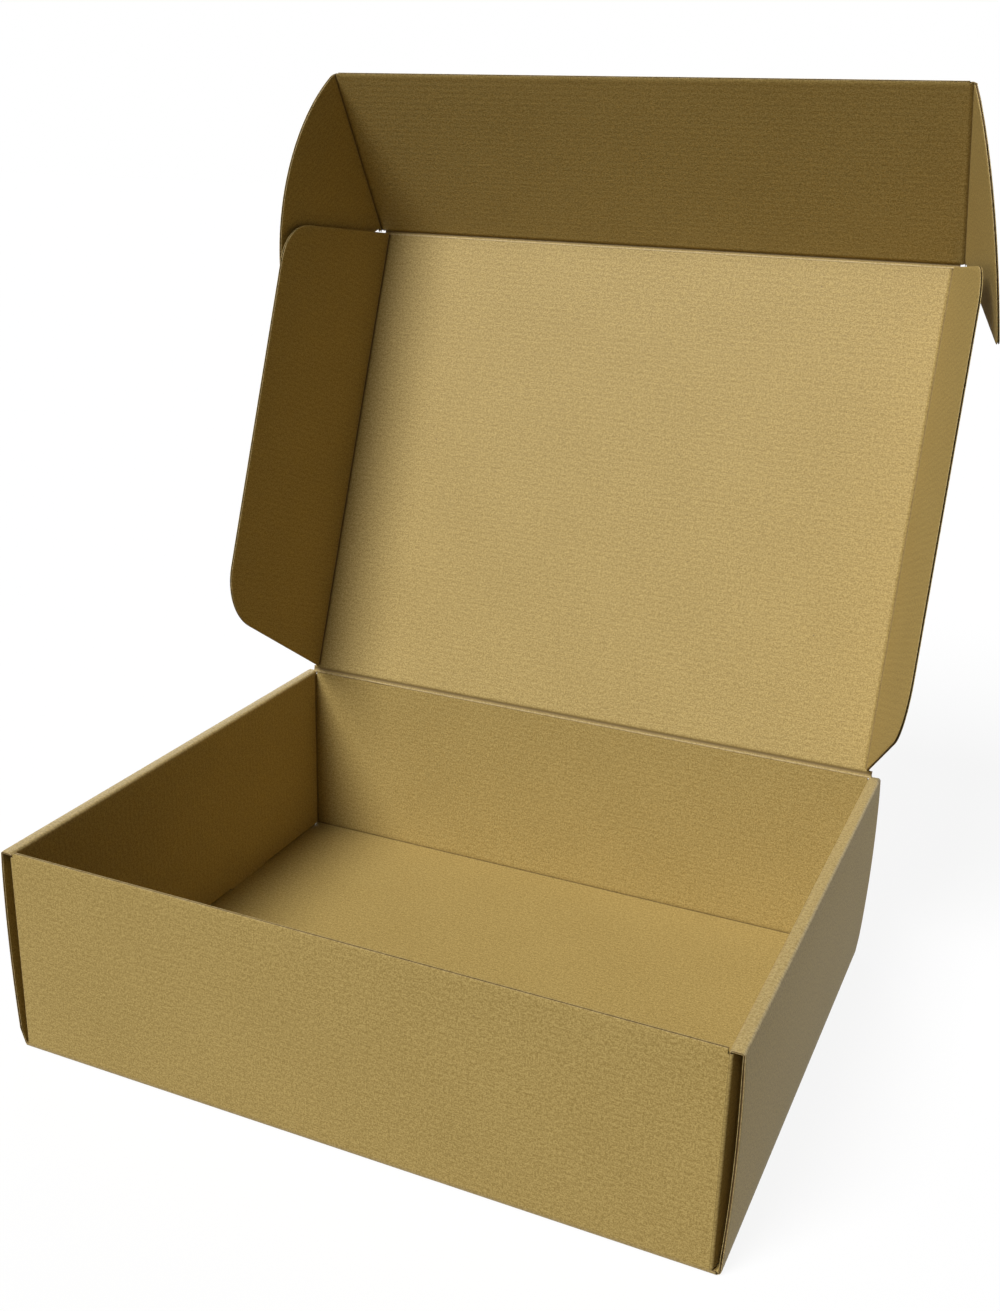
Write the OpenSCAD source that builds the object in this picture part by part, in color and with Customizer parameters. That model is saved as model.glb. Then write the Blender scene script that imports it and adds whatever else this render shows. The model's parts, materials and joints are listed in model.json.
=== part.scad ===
// Roll-end mailer box of single-wall corrugated board, standing open with its lid raised.
// One die-cut sheet: a tray with rolled side walls, and a lid that carries two dust flaps,
// a front flap and two lock ears. Origin: middle of the tray's underside. X right, Y back, Z up.

/* [Tray] */
// Outside width of the tray, across its rolled side walls
box_w = 330; // [240:1:420]
// Outside depth of the tray, front to back
box_d = 254; // [210:1:340]
// Height of the side walls
box_h = 99; // [80:1:140]
// Thickness of the corrugated board
board = 1.5; // [1.2:0.1:2]
// Inside radius of the pressed folds
fold_r = 0.4; // [0.2:0.1:0.8]

/* [Side walls] */
// Length of a corner flap, folded into the side wall
corner_flap = 80; // [40:1:90]
// Free height above and below a corner flap, and beside the high part of the end walls
corner_relief = 0.8; // [0.4:0.1:3]
// Spare room on each side of a lock ear inside a side wall
ear_room = 0.15; // [0.1:0.05:0.5]
// Air between layers of board that lie on each other
layer_gap = 0.1; // [0.1:0.05:0.3]
// Length of one locking tab at the foot of an inner wall
tab_len = 34; // [20:1:50]
// Distance between the middles of a wall's two locking tabs
tab_pitch = 100; // [70:1:130]
// Clearance around a locking tab in its slot in the floor
tab_room = 0.3; // [0.2:0.05:0.6]

/* [Lid] */
// Opening angle of the lid, 0 when it is shut
lid_open = 110; // [100:1:115]
// Clearance of the dust flaps between the side walls when the lid is shut
lid_room = 0.35; // [0.2:0.05:1]
// Height of the lid's fold above the rims
lid_rise = 1.5; // [1.3:0.1:4]
// Air between two panels at a working fold
fold_gap = 0.4; // [0.35:0.05:0.6]

/* [Dust flaps] */
// Gap between a dust flap's outer edge and the floor level when the lid is shut
dust_lift = 4; // [3:1:30]
// Fold of the left dust flap from the lid's plane, in degrees
left_dust_fold = 85.5; // [82:0.5:90]
// Fold of the right dust flap from the lid's plane, in degrees
right_dust_fold = 75; // [74:0.5:90]
// Distance that the rear edge slants forward over the flap's width
dust_rear_slant = 24; // [10:1:50]
// Distance that the front edge slants back over the flap's width
dust_front_slant = 24; // [10:1:50]
// Radius of the flap's rear corner
dust_rear_r = 31; // [5:1:40]
// Radius of the flap's front corner
dust_front_r = 24; // [5:1:40]
// Distance of the flap's root from the lid's corners
dust_root = 1.5; // [1.3:0.1:5]

/* [Front flap and lock ears] */
// Fold of the front flap from the lid's plane, in degrees
front_fold = 52.5; // [40:0.5:55]
// Height of the front flap's free edge above the table when the box is shut
front_lift = 3; // [1:0.5:20]
// Angle by which the left ear folds less than the left dust flap inside it, in degrees
left_ear_spread = -0.5; // [-1:0.5:10]
// Angle by which the right ear folds less than the right dust flap inside it, in degrees
right_ear_spread = 2.5; // [2:0.5:12]
// Radius of an ear's curved edge
ear_r = 102; // [80:1:110]
// Slant of an ear's straight edge, in degrees
ear_slant = 14.5; // [8:0.5:18]
// Radius of an ear's tip
ear_tip_r = 3; // [1:0.5:8]
// Distance of an ear's root from the lid's front fold
ear_root = 3; // [2:0.5:8]

/* [Hidden] */
$fn = 96;

kraft = [0.72, 0.58, 0.40];
kraft_inside = [0.68, 0.54, 0.36];

fold_out = fold_r + board;
half_w = box_w / 2;
half_d = box_d / 2;
half_board = board / 2;

// Side wall layers, from the outside in: outer wall, ear slot, corner flap, inner wall
ear_slot = board + 2 * ear_room;
corner_out = half_w - board - ear_slot;
wall_in = corner_out - 2 * board - layer_gap;
rim_w = half_w - wall_in;
rim_under = box_h - board;

// End walls: full height between the rims, lower where their corner flaps run under the rims
high_half = wall_in - corner_relief;
corner_low = fold_out + corner_relief;
corner_top = rim_under - corner_relief;

// Lid: its fold lies on the back wall's middle plane, its front fold just clears the front wall
hinge_y = half_d - half_board;
hinge_z = box_h + lid_rise;
lid_len = box_d + fold_gap;
dust_fold_x = wall_in - lid_room - half_board;
dust_w = box_h - dust_lift;
front_h = hinge_z - front_lift;
ear_fold_x = corner_out + ear_slot / 2;
left_ear_fold = left_dust_fold - left_ear_spread;
right_ear_fold = right_dust_fold - right_ear_spread;
panel_start = half_board + fold_gap;

function unit(v) = v / norm(v);
function turn(v) = [-v[1], v[0]];

// Quarter of a pressed fold, in the first quadrant around its centre
module fold_quarter() {
    intersection() {
        difference() {
            circle(fold_out);
            circle(fold_r);
        }
        square(fold_out);
    }
}

// Convex outline with corners rounded to the given radii (0 leaves a corner sharp)
module rounded_outline(points, radii) {
    count = len(points);
    backs = [for (i = [0 : count - 1]) unit(points[(i + count - 1) % count] - points[i])];
    ahead = [for (i = [0 : count - 1]) unit(points[(i + 1) % count] - points[i])];
    half_angle = [for (i = [0 : count - 1]) acos(backs[i] * ahead[i]) / 2];
    runs = [for (i = [0 : count - 1]) radii[i] / tan(half_angle[i])];
    polygon([for (i = [0 : count - 1]) each
        radii[i] == 0 ? [points[i]] : [points[i] + backs[i] * runs[i], points[i] + ahead[i] * runs[i]]]);
    for (i = [0 : count - 1])
        if (radii[i] > 0)
            translate(points[i] + unit(backs[i] + ahead[i]) * radii[i] / sin(half_angle[i])) circle(radii[i]);
}

// Extrudes a section drawn in the X-Z plane along Y, symmetric about the middle
module along_depth(length) {
    rotate([90, 0, 0]) linear_extrude(length, center = true) children();
}

// Floor's side fold, in section
module floor_fold_section() {
    translate([half_w - fold_out, fold_out]) rotate(-90) fold_quarter();
}

// Outer wall, rim and both top folds, in section
module rolled_section() {
    translate([half_w - board, fold_out]) square([board, box_h - 2 * fold_out]);
    translate([half_w - fold_out, box_h - fold_out]) fold_quarter();
    translate([wall_in + fold_out, rim_under]) square([rim_w - 2 * fold_out, board]);
    translate([wall_in + fold_out, box_h - fold_out]) rotate(90) fold_quarter();
}

// Inner wall, standing just above the floor, in section
module inner_wall_section() {
    translate([wall_in, board + layer_gap]) square([board, box_h - fold_out - board - layer_gap]);
}

// One rolled side wall on the right, with its locking tabs
module side_wall() {
    along_depth(box_d - 2 * fold_out) floor_fold_section();
    along_depth(box_d) rolled_section();
    along_depth(box_d - 2 * board - 2 * layer_gap) inner_wall_section();
    for (side = [-1, 1])
        translate([wall_in, side * tab_pitch / 2 - tab_len / 2, layer_gap])
            cube([board, tab_len, board + layer_gap]);
}

// Slots in the floor that take one side wall's locking tabs
module tab_slots() {
    for (side = [-1, 1])
        translate([wall_in - tab_room, side * tab_pitch / 2 - tab_len / 2 - tab_room, -board])
            cube([board + 2 * tab_room, tab_len + 2 * tab_room, 3 * board]);
}

// Wall at the front (its outer face on -Y), bent up from the floor, with a corner flap at each end
module end_wall(high_z) {
    straight = corner_out - fold_out;
    translate([0, -half_d + fold_out, fold_out]) rotate([90, 0, 90])
        linear_extrude(2 * straight, center = true) rotate(180) fold_quarter();
    translate([-straight, -half_d, fold_out]) cube([2 * straight, board, corner_top - fold_out]);
    translate([-high_half, -half_d, fold_out]) cube([2 * high_half, board, high_z - fold_out]);
    for (side = [0, 1])
        mirror([side, 0, 0]) {
            translate([straight, -half_d + fold_out, corner_low])
                linear_extrude(corner_top - corner_low) rotate(-90) fold_quarter();
            translate([corner_out - board, -half_d + fold_out, corner_low])
                cube([board, corner_flap - fold_out, corner_top - corner_low]);
        }
}

// Tray: floor, front wall, back wall and two rolled side walls, folded from one sheet
module tray() {
    color(kraft) {
        difference() {
            translate([-half_w + fold_out, -half_d + fold_out, 0])
                cube([box_w - 2 * fold_out, box_d - 2 * fold_out, board]);
            tab_slots();
            mirror([1, 0, 0]) tab_slots();
        }
        side_wall();
        mirror([1, 0, 0]) side_wall();
        end_wall(box_h);
        mirror([0, 1, 0]) end_wall(hinge_z);
        translate([0, hinge_y, hinge_z]) rotate([0, 90, 0]) cylinder(r = half_board, h = 2 * high_half, center = true);
    }
}

// Frame of the lid: its fold on the X axis, the shut lid along -Y, its inside facing -Z
module at_lid() {
    translate([0, hinge_y, hinge_z]) rotate([-lid_open, 0, 0]) children();
}

// Frame of the front flap: the lid's front fold on the X axis, the flap along -Y
module at_front_flap() {
    at_lid() translate([0, -lid_len, 0]) rotate([front_fold, 0, 0]) children();
}

// A board panel from an outline, centred on its middle plane
module panel() {
    linear_extrude(board, center = true) children();
}

// Lid panel with a rounded edge along each fold that it carries
module lid() {
    bead_len = lid_len - 2 * dust_root;
    color(kraft_inside) at_lid() {
        translate([-dust_fold_x, -lid_len, -half_board]) cube([2 * dust_fold_x, lid_len - panel_start, board]);
        translate([0, -lid_len, 0]) rotate([0, 90, 0])
            cylinder(r = half_board, h = 2 * (dust_fold_x - dust_root), center = true);
        for (side = [-1, 1])
            translate([side * dust_fold_x, -dust_root, 0]) rotate([90, 0, 0]) cylinder(r = half_board, h = bead_len);
    }
}

// Dust flap on the right of the lid, flat, its fold on the Y axis
module dust_flap_outline() {
    rear = -dust_root;
    front = -lid_len + dust_root;
    rounded_outline(
        [[panel_start, rear], [panel_start, front], [dust_w, front + dust_front_slant], [dust_w, rear - dust_rear_slant]],
        [0, 0, dust_front_r, dust_rear_r]);
}

module right_dust_flap() {
    color(kraft_inside) at_lid() translate([dust_fold_x, 0, 0]) rotate([0, right_dust_fold, 0])
        panel() dust_flap_outline();
}

module left_dust_flap() {
    color(kraft_inside) at_lid() mirror([1, 0, 0]) translate([dust_fold_x, 0, 0]) rotate([0, left_dust_fold, 0])
        panel() dust_flap_outline();
}

// Front flap, with a rounded edge along each ear's fold
module front_flap() {
    bead_len = front_h - ear_root;
    color(kraft_inside) at_front_flap() {
        translate([-ear_fold_x, -front_h, -half_board]) cube([2 * ear_fold_x, front_h - panel_start, board]);
        for (side = [-1, 1])
            translate([side * ear_fold_x, -ear_root, 0]) rotate([90, 0, 0]) cylinder(r = half_board, h = bead_len);
    }
}

// Lock ear on the right of the front flap, flat, its fold on the Y axis: a curved edge from the
// flap's free corner, a straight edge back to the root, and a rounded tip
module ear_outline() {
    centre = [0, -front_h + ear_r];
    along = [cos(ear_slant), -sin(ear_slant)];
    root = [panel_start, -ear_root];
    // Tip's arc: ear_tip_r inside the straight edge and inside the curved edge
    rail = root - turn(along) * ear_tip_r - centre;
    reach = ear_r - ear_tip_r;
    run = -rail * along + sqrt(pow(rail * along, 2) - rail * rail + reach * reach);
    tip = centre + rail + along * run;
    outward = unit(tip - centre);
    intersection() {
        translate(centre) circle(ear_r, $fn = 240);
        polygon([root, root + along * run, tip + outward * ear_tip_r, centre + outward * 2 * ear_r,
            [2 * ear_r, -front_h - ear_r], [panel_start, -front_h - ear_r]]);
    }
    translate(tip) circle(ear_tip_r);
}

module right_ear() {
    color(kraft) at_front_flap() translate([ear_fold_x, 0, 0]) rotate([0, right_ear_fold, 0]) panel() ear_outline();
}

module left_ear() {
    color(kraft) at_front_flap() mirror([1, 0, 0]) translate([ear_fold_x, 0, 0]) rotate([0, left_ear_fold, 0])
        panel() ear_outline();
}

tray();
lid();
left_dust_flap();
right_dust_flap();
front_flap();
left_ear();
right_ear();
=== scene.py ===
"""Open mailer box of corrugated kraft board: liners, flutes, pressed folds and cut edges, and its studio.

The box is one die-cut sheet. Every panel is a board of three layers, two flat liners and a waved medium
between them, and each working fold is a crushed strip that bends between two bodies of the frame.
Lengths are in metres and angles in radians unless a name says otherwise.
"""
import json
import math
from collections import namedtuple
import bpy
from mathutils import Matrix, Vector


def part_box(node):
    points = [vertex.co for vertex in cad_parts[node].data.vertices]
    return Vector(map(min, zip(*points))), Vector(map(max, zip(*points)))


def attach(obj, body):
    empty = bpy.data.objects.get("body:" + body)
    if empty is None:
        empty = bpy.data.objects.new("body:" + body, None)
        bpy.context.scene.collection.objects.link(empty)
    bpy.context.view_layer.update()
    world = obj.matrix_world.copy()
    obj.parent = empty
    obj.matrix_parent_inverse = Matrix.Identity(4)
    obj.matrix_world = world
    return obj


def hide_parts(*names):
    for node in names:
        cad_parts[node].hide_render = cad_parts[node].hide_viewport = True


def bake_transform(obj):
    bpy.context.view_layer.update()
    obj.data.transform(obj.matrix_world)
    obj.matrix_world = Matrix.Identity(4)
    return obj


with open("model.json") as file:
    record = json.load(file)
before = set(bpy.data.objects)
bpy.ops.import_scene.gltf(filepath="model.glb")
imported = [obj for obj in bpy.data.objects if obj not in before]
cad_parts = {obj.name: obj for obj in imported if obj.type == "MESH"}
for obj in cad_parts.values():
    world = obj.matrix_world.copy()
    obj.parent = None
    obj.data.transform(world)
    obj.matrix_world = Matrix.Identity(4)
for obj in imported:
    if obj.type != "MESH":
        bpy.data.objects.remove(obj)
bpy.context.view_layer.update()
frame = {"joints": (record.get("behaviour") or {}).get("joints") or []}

from types import SimpleNamespace

import bpy
import numpy as np

bl_info = {
    "name": "Corrugated mailer box",
    "version": (1, 0, 0),
    "blender": (4, 5, 0),
    "location": "View3D > Sidebar > Mailer box",
    "description": "Builds an open mailer box of corrugated board around its packed frame, with a studio",
    "category": "Add Mesh",
}

MM = 0.001
TRAY_LOW, TRAY_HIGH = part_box("tray")
JOINTS = {joint["name"]: joint for joint in frame["joints"]}
X, Y, Z = np.eye(3)
LINER, FLUTE = 0, 1
WHITE = (1.0, 1.0, 1.0, 1.0)

# Which ends of a grid are cut edges of the sheet: first and last column, first and last row.
UNCUT = (False,) * 4
FLAP_CUT = (False, True, True, True)

# Columns of a wide panel, an end wall, its buckled share and a flap, and rows over a working fold.
PANEL_COLUMNS, WALL_COLUMNS, BUCKLE_COLUMNS, FLAP_COLUMNS, CREASE_ROWS = 14, 22, 20, 9, 21
BUCKLE_SPAN = 0.24
# Points round a fold of an end wall, a corner flap and a side wall, and up an outer side wall.
WALL_TURN, CORNER_TURN, SIDE_TURN, SIDE_CLIMB = 9, 8, 7, 11
# Rows to a flute in the floor, a corner flap, a side wall and a locking tab.
FLOOR_ROWS, CORNER_ROWS, SIDE_ROWS, TAB_ROWS = 7, 6, 5, 4
SHARP_ANGLE = math.radians(40)

# Rooms and steps between the folded panels.
LAYER_GAP = 0.1 * MM  # between the layers of a side wall
TAB_ROOM = 0.3 * MM  # round a locking tab in its slot
TAB_LIFT = 0.1 * MM  # under a locking tab
CORNER_RELIEF = 0.8 * MM  # above and below a corner flap
FOOT_LEAD = 1.5 * MM  # strip of floor that a wall starts with
FOOT_REACH = 2.4 * MM  # of an end wall's foot past its corner fold
FOOT_GAP = 0.8 * MM  # under an inner side wall
END_GAP = 1.8 * MM  # at the ends of an inner side wall
RIM_STEP = 0.5 * MM  # at the ends of a rim's inner fold
RIM_GAP = 0.3 * MM  # between an end wall's top and the rims
STRIP_ROOM = 0.3 * MM  # between a fold's strip and the lid's side
STRIP_GAP = 0.1 * MM  # between a fold's strip and a dust flap's root
EAR_LEAD = 2.3 * MM  # of an ear fold's strip before the ear's root
EAR_TRIM = 0.6 * MM  # of that strip before the free edge
EAR_END = 0.05 * MM  # of an ear's last row before the free edge
LEAST_ROW = 0.2 * MM  # length of a flap's shortest row

# How the board is pressed and bowed.
PINCH_REACH = 0.7 * MM  # width of the pinch along a cut edge
MEDIUM_RECESS = 1.0 * MM  # of the medium's ends behind the liners'
BEAD_WIDTH = 0.45 * MM  # of the bead beside a fold along the flutes
ALONG_GROOVE = 1.3  # how much wider the groove of such a fold is
# The marks of these folds thin the board and also paint pressed kraft and shade in each fold's hollow.
WALL_CRUSH, WALL_SHADE_MARK = 0.5, 1.3 * MM  # share of thickness lost in an end wall's folds, width of the mark
SIDE_CRUSH, SIDE_SHADE_MARK = 0.3, 1.1 * MM  # the same for a side wall's folds
# The mark at a front corner flap's root paints shade in the slot beside the side wall.
ROOT_PLACE, ROOT_SHADE_MARK = 5 * MM, 4 * MM  # place and width of the mark at a front corner flap's root
RUB = 0.35  # share of a fold's crush that shows as rubbed paper on its outer side
FLAP_WARP = 0.6  # warp of a flap as a share of a wide panel's
LID_PHASE, FRONT_PHASE = 0.6, 2.1  # where the warps of the lid and the front flap start

# Noises of the kraft paper: waves to the metre, then weights in its shade.
CLOUD_SCALE, MOTTLE_SCALE, GRAIN_SCALE, FIBRE_SCALE, BARK_SCALE = 22.0, 820.0, 1700.0, 1500.0, 420.0
# The last weight is for painted shade between the flutes.
CLOUD, MOTTLE, GRAIN, FIBRE, WASHBOARD_SHADE = 0.25, 1.9, 2.8, 1.0, 0.05
FIBRE_STRETCH = 0.16  # of the fibre noise along the flutes
MEDIUM_SCALE = 700.0  # of the medium's grain
WORN_REACH = 0.4 * MM  # of the worn paper along a cut edge
BUMP_DEPTH = 0.05 * MM

# Floor: half its width, its drop under the box, its grain's scale, its share of white and of glow as seen.
FLOOR_HALF, FLOOR_DROP, FLOOR_SCALE, FLOOR_WHITE, FLOOR_GLOW = 8.0, 0.2 * MM, 60.0, 0.97, 0.9
# Camera fitted to the box's corners: place, turn in degrees, lens and sensor in millimetres.
CAMERA_PLACE, CAMERA_TURN = (0.25381, -0.55219, 0.39746), (70.0010, -1.4982, 24.1857)
CAMERA_LENS, CAMERA_SENSOR = 39.872, 36.0

Fold = namedtuple("Fold", "name parent child origin axis onward inward fold ends along place")


def millimetres(name, description, size):
    """A length property whose default is given in millimetres."""
    return bpy.props.FloatProperty(
        name=name, description=description, default=size * MM, unit="LENGTH", precision=5)


def degrees(name, description, angle):
    """An angle property whose default is given in degrees."""
    return bpy.props.FloatProperty(
        name=name, description=description, default=math.radians(angle), subtype="ANGLE")


def share(name, description, value, low=0.0, high=1.0):
    """A plain number between two limits."""
    return bpy.props.FloatProperty(name=name, description=description, default=value, min=low, max=high)


def colour(name, description, value):
    """A linear colour property."""
    return bpy.props.FloatVectorProperty(
        name=name, description=description, default=value, size=3, min=0.0, max=1.0, subtype="COLOR")


class MailerSizes(bpy.types.PropertyGroup):
    """Sizes of the folded sheet."""
    width: millimetres("Width", "Outside width of the tray", (TRAY_HIGH.x - TRAY_LOW.x) / MM)
    depth: millimetres("Depth", "Outside depth of the tray", (TRAY_HIGH.y - TRAY_LOW.y) / MM)
    height: millimetres("Height", "Height of the side walls", 99.0)
    rim: millimetres("Rim", "Width of a rolled side wall's rim", 6.4)
    corner_flap: millimetres("Corner flap", "Length of a corner flap inside a side wall", 80.0)
    corner_round: millimetres("Corner round", "Room that an end wall's corner fold takes up", 2.75)
    corner_fold: millimetres("Corner fold", "Radius of a corner fold at the middle of the board", 0.75)
    corner_splay: degrees("Corner splay", "Angle by which a corner flap's root slants outwards", 10.0)
    tab: millimetres("Tab", "Length of a locking tab", 34.0)
    tab_pitch: millimetres("Tab pitch", "Distance between the middles of a wall's locking tabs", 100.0)
    dust_width: millimetres("Dust flap width", "Width of a dust flap from its fold", 95.0)
    dust_slant: millimetres("Dust flap slant", "Run of a dust flap's slanted ends over its width", 24.0)
    dust_rear_round: millimetres("Rear corner", "Radius of a dust flap's rear corner", 31.0)
    dust_front_round: millimetres("Front corner", "Radius of a dust flap's front corner", 24.0)
    dust_root: millimetres("Dust flap root", "Distance of a dust flap's ends from the lid's corners", 1.5)
    front_drop: millimetres("Front flap", "Length of the front flap from its fold to its free edge", 97.5)
    ear_round: millimetres("Ear radius", "Radius of a lock ear's curved edge", 102.0)
    ear_tip: millimetres("Ear tip", "Radius of a lock ear's tip", 3.0)
    ear_root: millimetres("Ear root", "Distance of a lock ear's root from the lid's front fold", 3.0)
    ear_slant: degrees("Ear slant", "Slant of a lock ear's straight edge", 14.5)


class MailerFolds(bpy.types.PropertyGroup):
    """Folds of the loose flaps as the box stands."""
    left_dust: degrees("Left dust flap", "Fold of the left dust flap from the lid's plane", 85.5)
    right_dust: degrees("Right dust flap", "Fold of the right dust flap from the lid's plane", 75.0)
    left_ear: degrees("Left ear", "Fold of the left ear from the front flap's plane", 86.0)
    right_ear: degrees("Right ear", "Fold of the right ear from the front flap's plane", 72.5)


class BoardMake(bpy.types.PropertyGroup):
    """How the corrugated board is made, pressed and bowed."""
    board: millimetres("Board", "Thickness of the board", 1.5)
    liner: millimetres("Liner", "Thickness of a liner", 0.22)
    medium: millimetres("Medium", "Thickness of the waved medium", 0.16)
    flute_pitch: millimetres("Flute pitch", "Distance from one flute to the next", 3.3)
    washboard: millimetres("Washboard", "Depth to which a liner sinks between flutes", 0.024)
    fold_gap: millimetres("Fold gap", "Room between a working fold's bead and the next panel's root", 0.4)
    crease_reach: millimetres("Crease reach", "Half the width of a pressed fold", 2.2)
    corner_fill: millimetres("Corner fill", "Reach of the lid's folds into the holes at its corners", 2.9)
    crease_groove: millimetres("Crease groove", "Half the width of the groove in a pressed fold", 0.75)
    bead: share("Bead", "Share of its thickness that the board gains in the bead beside a fold", 0.3)
    bead_place: millimetres("Bead place", "Distance of that bead from the fold", 1.7)
    fold_round: millimetres("Fold radius", "Inside radius of a fold in the tray", 0.05)
    crush: share("Crush", "Share of its thickness that the board loses in a pressed fold", 0.6)
    pinch: share("Pinch", "Share of its thickness that the board loses along a cut edge", 0.22)
    side_bulge: millimetres("Side bulge", "Outward bulge of an outer side wall at half height", 0.9)
    side_tuck: millimetres("Side tuck", "Distance that an outer side wall draws in at its foot", 1.6)
    rim_tuck: millimetres("Rim tuck", "Distance that an outer side wall draws in at its rim", 0.1)
    warp: millimetres("Warp", "Slow warp of a wide panel", 0.5)


class KraftColours(bpy.types.PropertyGroup):
    """Colours of the kraft paper."""
    pale: colour("Pale fibre", "Palest kraft fibre", (0.468, 0.345, 0.122))
    dark: colour("Dark fibre", "Darkest kraft fibre", (0.273, 0.188, 0.051))
    # Painted shade: the pressed colour stands for crushed kraft and for the shade that falls in the hollow of
    # a fold and in the slot at a front corner.
    pressed: colour("Pressed fold", "Kraft crushed in the hollow of a fold", (0.17, 0.115, 0.04))
    speck: colour("Speck", "Bark specks in the paper", (0.13, 0.08, 0.035))
    # The worn colour is real wear on cut edges and rubbed folds, and a painted highlight on the bead beside
    # the lid's hinge and the front flap's fold.
    worn: colour("Worn edge", "Paper fibre along a cut edge", (0.64, 0.52, 0.32))
    # The flute colour is partly the medium's own paper and partly painted shade between the liners.
    flute: colour("Flute", "Waved medium between the liners", (0.18, 0.115, 0.05))


class StudioLook(bpy.types.PropertyGroup):
    """Floor and light of the studio."""
    floor: colour("Floor", "Colour of the floor in the light that it throws back", (0.20, 0.155, 0.06))
    sky: colour("Sky", "Even light from all round", (0.024, 0.019, 0.009))
    key: colour("Key light", "Colour of the key lamp", (0.99, 0.99, 1.0))
    key_level: share("Key level", "Strength of the key lamp", 3.95, 0.0, 20.0)
    key_soft: degrees("Key size", "Apparent size of the key lamp", 26.0)
    key_tilt: degrees("Key tilt", "Angle of the key lamp from straight above, towards the front", 43.0)
    key_turn: degrees("Key turn", "Angle of the key lamp round to the left of the front", 20.0)
    fill: colour("Fill light", "Colour of the fill lamps", (0.80, 0.88, 1.0))
    fill_level: share("Fill level", "Strength of each fill lamp", 0.9, 0.0, 20.0)
    fill_soft: degrees("Fill size", "Apparent size of the fill lamps", 30.0)
    fill_tilt: degrees("Fill tilt", "Angle of the fill lamps from straight above", 76.0)
    fill_turn: degrees("Fill turn", "Angle of the fill lamps round to both sides of the front", 145.0)


def unit(vector):
    """The vector at length 1."""
    return np.asarray(vector, float) / np.linalg.norm(vector)


def measures():
    """Derived places of the folds and walls, from the properties and the frame's joints."""
    scene = bpy.context.scene
    size, make, fold = scene.mailer_sizes, scene.board_make, scene.mailer_folds
    m = SimpleNamespace(size=size, make=make, fold=fold)
    m.half = make.board / 2
    m.reach, m.pitch, m.tab_at = make.crease_reach, make.flute_pitch, size.tab_pitch / 2
    m.bend = make.fold_round + m.half
    m.fold_out = make.fold_round + make.board
    m.half_w, m.half_d = size.width / 2, size.depth / 2
    m.wall_in = m.half_w - size.rim
    m.flap_face = m.wall_in + 2 * make.board + LAYER_GAP
    m.flap_low = m.fold_out + CORNER_RELIEF
    m.flap_top = size.height - make.board - CORNER_RELIEF
    m.hinge = np.array(JOINTS["lid_hinge"]["pos_m"], float)
    m.crease = np.array(JOINTS["front_flap_fold"]["pos_m"], float)
    m.lid_way = unit(JOINTS["left_dust_fold"]["axis"])
    m.front_way = unit(JOINTS["left_ear_fold"]["axis"])
    m.lid_in, m.front_in = np.cross(X, m.lid_way), np.cross(X, m.front_way)
    m.lid_len = np.linalg.norm(m.crease - m.hinge)
    m.dust_x = JOINTS["right_dust_fold"]["pos_m"][0]
    m.ear_x = JOINTS["right_ear_fold"]["pos_m"][0]
    m.lid_fold = math.atan2(m.lid_way @ -Y, m.lid_way @ Z)
    m.front_fold = math.atan2(m.front_way @ m.lid_in, m.front_way @ m.lid_way)
    return m


def fractions(count, length, close=(0.3, 0.8, 1.6)):
    """Even fractions from 0 to 1, with closer ones at set distances (mm) from both ends of a length."""
    near = np.array(close) * MM / length
    near = near[near < 0.4]
    return np.unique(np.concatenate([np.linspace(0, 1, count), near, 1 - near]))


def flute_rows(low, high, pitch, per_flute=8, close=(0.3, 0.8)):
    """Rows from low to high, so many to a flute, with closer ones at set distances (mm) from both ends."""
    near = np.array(close) * MM
    even = np.linspace(low, high, max(3, int((high - low) / pitch * per_flute)))
    return np.unique(np.concatenate([even, low + near, high - near]))


def grid_normals(mid):
    """Unit normals of a grid of points: the column step crossed with the row step."""
    normal = np.cross(np.gradient(mid, axis=1), np.gradient(mid, axis=0))
    return normal / np.linalg.norm(normal, axis=-1, keepdims=True)


def edge_gap(u, v, cut):
    """Distance of each grid point from the nearest cut end of its row or column; cut names those ends."""
    far = np.full(u.shape, 1.0)
    gaps = np.abs([u - u[:, :1], u[:, -1:] - u, v - v[:1], v[-1:] - v])
    picked = [gap for gap, is_cut in zip(gaps, cut) if is_cut]
    return np.minimum.reduce([far, *picked])


def board(m, mid, u, v, cut=UNCUT, normal=None, crushed=0.0, hollow=0, skip=3):
    """One board: its middle surface on a grid, and its place in the flat sheet, u along the flutes, v across.

    Its half thickness is that of the board, less the share crushed in a fold, and pinched along cut edges
    by a bell curve of the distance from the edge. A fold is hollow on the side of the normal (1) or on the
    other (-1). The medium keeps one column in as many as skip says.
    """
    gap = edge_gap(u, v, cut)
    pinched = m.make.pinch * bell(gap, PINCH_REACH)
    half = m.half * (1 - crushed) * (1 - pinched)
    # The crushed share is also kept as the fold's mark, from which the liner paints pressed kraft and shade
    # in a fold's hollow, and paler paper where the mark is below 0.
    return SimpleNamespace(
        mid=mid, normal=grid_normals(mid) if normal is None else normal, sheet=np.stack([u, v, gap], -1),
        half=half, fold=crushed * np.ones_like(u), hollow=hollow, skip=skip)


def flat_board(m, origin, along, across, u, v, place, cut=UNCUT, lift=0.0):
    """A flat panel: origin + u along + v across, lifted off its plane; place shifts it in the flat sheet."""
    plane = origin + u[..., None] * along + v[..., None] * across
    mid = plane + np.asarray(lift)[..., None] * np.cross(along, across)
    return board(m, mid, u + place[0], v + place[1], cut)


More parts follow.
